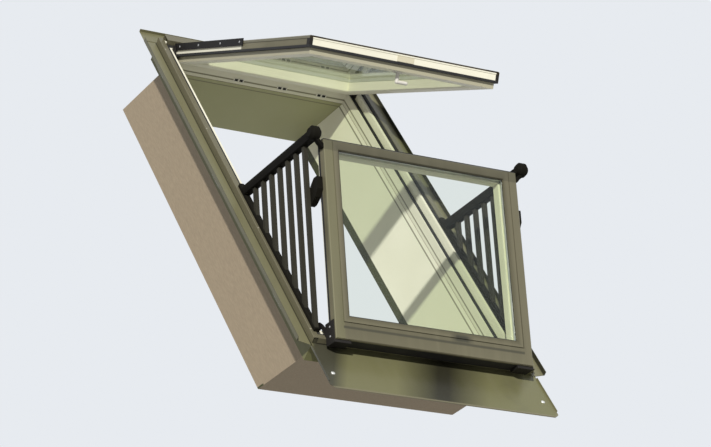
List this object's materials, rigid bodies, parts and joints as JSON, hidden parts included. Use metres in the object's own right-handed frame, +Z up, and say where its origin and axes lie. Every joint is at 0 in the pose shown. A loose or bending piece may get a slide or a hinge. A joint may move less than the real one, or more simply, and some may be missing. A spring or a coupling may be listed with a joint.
{
  "type": "roof balcony window",
  "caption": "Roof balcony window standing open: upper sash pushed out as a canopy, lower sash upright as a balustrade, railings at both sides, with flashing, lining and brackets.",
  "frame": {"origin": "centre of the face of the sill bracket that lies on the roof batten, below the frame's lower end", "axes": "+X along the eaves to the right as seen from outdoors, -Y outdoors, +Z up; the roof slopes at 57 degrees, rising towards +Y"},
  "size_m": [1.29, 2.0962, 2.4974],
  "materials": {
    "timber": "painted cream white, satin",
    "metal_cover": "satin olive grey coated sheet",
    "seal": "matt black",
    "glass": "clear sealed unit",
    "hinge": "satin black",
    "handle": "satin light grey",
    "handrail": "satin black",
    "balusters": "satin dark brown grey",
    "foot_rail": "satin black",
    "flashing": "satin brown grey coated sheet",
    "lining": "painted cream white, matt",
    "bracket": "galvanised"
  },
  "bodies": {
    "root": {"frame_side_left": "timber", "frame_side_right": "timber", "frame_head": "timber", "frame_sill": "timber", "frame_cover_left": "metal_cover", "frame_cover_right": "metal_cover", "frame_cover_head": "metal_cover", "frame_cover_sill": "metal_cover", "frame_seal": "seal", "upper_stile_left": "timber", "upper_stile_right": "timber", "upper_rail_top": "timber", "upper_rail_front": "timber", "upper_cladding": "metal_cover", "upper_seal": "seal", "upper_glass": "glass", "upper_handle": "handle", "upper_corner_caps": "hinge", "upper_lock_plate": "handle", "upper_hinge_left": "hinge", "upper_hinge_right": "hinge", "lower_stile_left": "timber", "lower_stile_right": "timber", "lower_rail_top": "timber", "lower_rail_bottom": "timber", "lower_cladding": "metal_cover", "lower_seal": "seal", "lower_glass": "glass", "lower_hinge_left": "hinge", "lower_hinge_right": "hinge", "handrail_left": "handrail", "handrail_right": "handrail", "balusters_left": "balusters", "balusters_right": "balusters", "foot_rail_left": "foot_rail", "foot_rail_right": "foot_rail", "railing_latches": "handrail", "flashing_apron": "flashing", "flashing_side_left": "flashing", "flashing_side_right": "flashing", "flashing_head": "flashing", "lining_left": "lining", "lining_right": "lining", "lining_head": "lining", "lining_sill": "lining", "bracket_sill": "bracket", "brackets_side": "bracket"}
  },
  "joints": []
}
